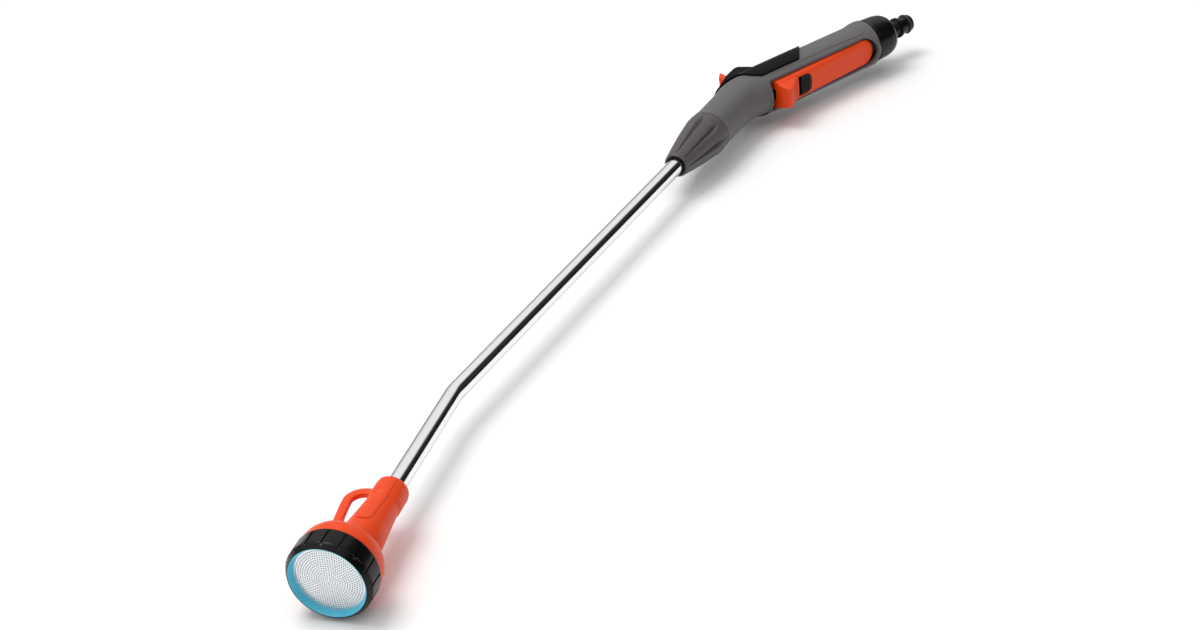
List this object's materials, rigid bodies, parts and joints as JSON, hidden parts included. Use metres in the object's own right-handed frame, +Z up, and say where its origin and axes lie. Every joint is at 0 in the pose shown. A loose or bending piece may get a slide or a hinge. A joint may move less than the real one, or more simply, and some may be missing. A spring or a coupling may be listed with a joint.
{
  "type": "watering wand",
  "caption": "Garden watering wand with a long-trigger grip, thumb flow lever, clamp collar, bent metal lance and round shower head with a hang loop.",
  "frame": {"origin": "centre of the hose spigot's tip, on the grip's axis", "axes": "the wand lies on its side: +X runs along the grip towards the lance, +Y is the trigger side, and Z is square to the plane of symmetry, which is Z = 0; +Z is up"},
  "size_m": [0.8007, 0.3397, 0.0542],
  "materials": {
    "body_grey": "fine spark-eroded moulded grey plastic",
    "collar_grey": "satin dark grey plastic",
    "signal_orange": "satin orange plastic",
    "black_plastic": "satin black plastic",
    "soft_black": "soft matt black elastomer",
    "seal_rubber": "moulded black rubber",
    "inner_plastic": "glass-filled grey plastic",
    "acetal": "natural acetal",
    "aluminium": "polished drawn aluminium",
    "steel": "bright steel",
    "rose_steel": "bright pressed stainless steel",
    "rim_blue": "satin cyan-blue plastic"
  },
  "bodies": {
    "handle": {"grip_shell_left": "body_grey", "grip_shell_right": "body_grey", "shell_screws": "steel", "thumb_pad": "soft_black", "end_cap": "black_plastic", "hose_spigot": "black_plastic", "spigot_o_ring": "seal_rubber", "inlet_gasket": "seal_rubber", "inlet_filter": "acetal", "valve_body": "inner_plastic", "valve_gland": "acetal", "stem_seal": "seal_rubber", "valve_plug": "inner_plastic", "valve_spring": "steel", "trigger_pin": "steel", "regulator_body": "inner_plastic", "lance_socket": "inner_plastic", "socket_o_rings": "seal_rubber", "clamp_collet": "acetal"},
    "trigger": {"trigger": "signal_orange"},
    "trigger_lock": {"trigger_lock": "black_plastic"},
    "valve_stem": {"valve_stem": "steel", "valve_washer": "seal_rubber"},
    "flow_lever": {"flow_lever": "signal_orange", "regulator_plug": "acetal", "plug_o_rings": "seal_rubber"},
    "collar": {"collar_nut": "collar_grey", "collar_bush": "black_plastic"},
    "lance": {"lance_tube": "aluminium", "tube_ferrule": "aluminium", "head_body": "signal_orange", "head_o_ring": "seal_rubber", "spray_diffuser": "acetal", "rose_gasket": "seal_rubber", "rose_plate": "rose_steel", "rose_rim": "rim_blue"},
    "bezel": {"bezel_ring": "black_plastic"}
  },
  "joints": [
    {"name": "trigger_squeeze", "type": "hinge", "parent": "handle", "child": "trigger", "pos_m": [0.064, 0.0095, 0], "axis": [0, 0, -1], "range_deg": [0, 4.5], "stiffness_Nm_per_rad": 8, "springref_deg": -6.88},
    {"name": "trigger_lock_slide", "type": "slide", "parent": "trigger", "child": "trigger_lock", "axis": [1, 0, 0], "range_m": [0, 0.0036]},
    {"name": "valve_stem_slide", "type": "slide", "parent": "handle", "child": "valve_stem", "axis": [0, -1, 0], "range_m": [0, 0.0026], "deforming": ["valve_spring"]},
    {"name": "flow_lever_turn", "type": "hinge", "parent": "handle", "child": "flow_lever", "pos_m": [0.196, 0, 0], "axis": [0, 0, 1], "range_deg": [0, 32]},
    {"name": "collar_nut_turn", "type": "hinge", "parent": "handle", "child": "collar", "pos_m": [0.198, 0, 0], "axis": [0.9225, 0.3859, 0], "range_deg": [0, 120]},
    {"name": "lance_swivel", "type": "hinge", "parent": "handle", "child": "lance", "pos_m": [0.198, 0, 0], "axis": [0.9225, 0.3859, 0], "range_deg": [-90, 90]},
    {"name": "bezel_turn", "type": "hinge", "parent": "lance", "child": "bezel", "pos_m": [0.78212, 0.2776, 0], "axis": [0.8382, 0.5454, 0], "continuous": true}
  ],
  "couplings": [
    {"joint": "valve_stem_slide", "follows": "trigger_squeeze", "m_per_rad": 0.032}
  ]
}
